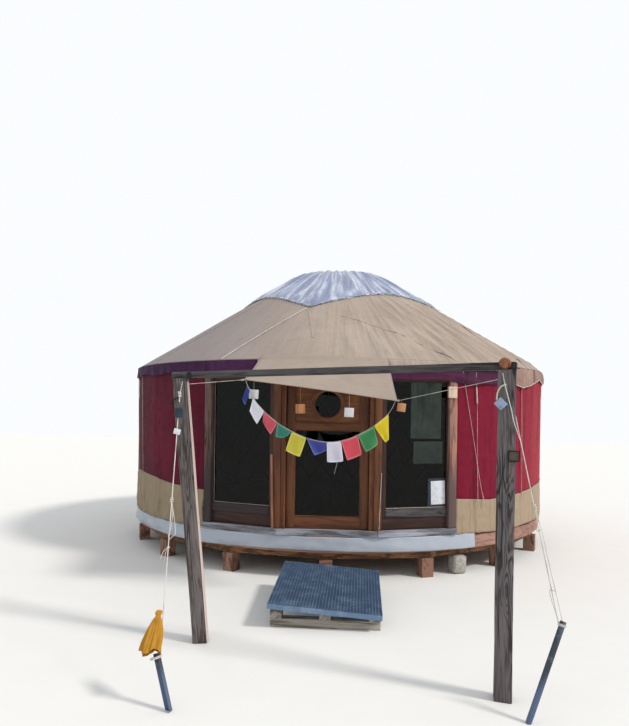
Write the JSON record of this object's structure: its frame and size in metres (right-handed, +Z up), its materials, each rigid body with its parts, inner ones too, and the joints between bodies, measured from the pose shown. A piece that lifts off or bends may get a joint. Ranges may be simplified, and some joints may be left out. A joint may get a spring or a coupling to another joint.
{
  "type": "yurt",
  "caption": "Round canvas-covered yurt on a timber deck, with a glazed flat front, an inward-opening door and a roped porch frame.",
  "frame": {"origin": "ground level under the middle of the yurt, on the foot of the centre pier", "axes": "+Z up; the door faces -Y; +X to the right of someone who looks at the door from outside"},
  "size_m": [5.4936, 8.368, 3.638],
  "materials": {
    "black_iron": "satin",
    "clear_cover": "gloss",
    "concrete": "rough",
    "deck_timber": "sawn",
    "felt": "matt",
    "flag_cloth": "matt",
    "galvanised": "matt",
    "joinery": "oiled",
    "orange_cloth": "matt",
    "pane": "gloss",
    "pole_timber": "planed",
    "purple_cloth": "satin",
    "red_canvas": "matt",
    "rope": "matt",
    "tan_canvas": "matt",
    "weathered_board": "weathered",
    "white_skirt": "satin"
  },
  "bodies": {
    "yurt": {"awning": "tan_canvas", "awning_ties": "rope", "beam_brackets": "black_iron", "beam_log_end": "pole_timber", "bearer_ring": "deck_timber", "bunting_cord": "rope", "bunting_flags": "flag_cloth", "centre_pier": "deck_timber", "cross_bearers": "deck_timber", "crown_cover": "clear_cover", "crown_ribs": "pole_timber", "crown_ring": "pole_timber", "deck_floor": "deck_timber", "deck_joists": "deck_timber", "deck_legs": "deck_timber", "deck_rim": "deck_timber", "deck_skirt": "white_skirt", "door_head": "joinery", "door_jambs": "joinery", "eave_valance": "purple_cloth", "felt_wall_left_back": "felt", "felt_wall_left_front": "felt", "felt_wall_right_back": "felt", "felt_wall_right_front": "felt", "frame_laths": "pole_timber", "front_posts": "joinery", "ground_stakes": "galvanised", "guy_cloth": "orange_cloth", "guy_ropes": "rope", "hanging_blocks": "pole_timber", "head_plates": "joinery", "jamb_hinges": "black_iron", "lattice_left": "pole_timber", "lattice_right": "pole_timber", "porch_beam": "weathered_board", "porch_post_left": "weathered_board", "porch_post_right": "weathered_board", "roof_canvas": "tan_canvas", "roof_felt_back": "felt", "roof_felt_front": "felt", "roof_felt_left": "felt", "roof_felt_right": "felt", "roof_poles": "pole_timber", "sole_plates": "weathered_board", "step_base": "deck_timber", "step_grating": "galvanised", "stone_block": "concrete", "top_band": "pole_timber", "wall_canvas_red": "red_canvas", "wall_canvas_tan": "tan_canvas", "window_frame_left": "joinery", "window_frame_right": "joinery", "window_glass": "pane", "window_panels": "joinery"},
    "door": {"door_glass": "pane", "door_handle": "black_iron", "door_hinges": "black_iron", "door_leaf": "joinery", "door_panel": "joinery", "porthole_ring": "joinery"}
  },
  "joints": [
    {"name": "door_swing", "type": "hinge", "parent": "yurt", "child": "door", "pos_m": [0.4181, -2.61612, 0], "axis": [0, 0, -1], "range_deg": [0, 95]}
  ]
}
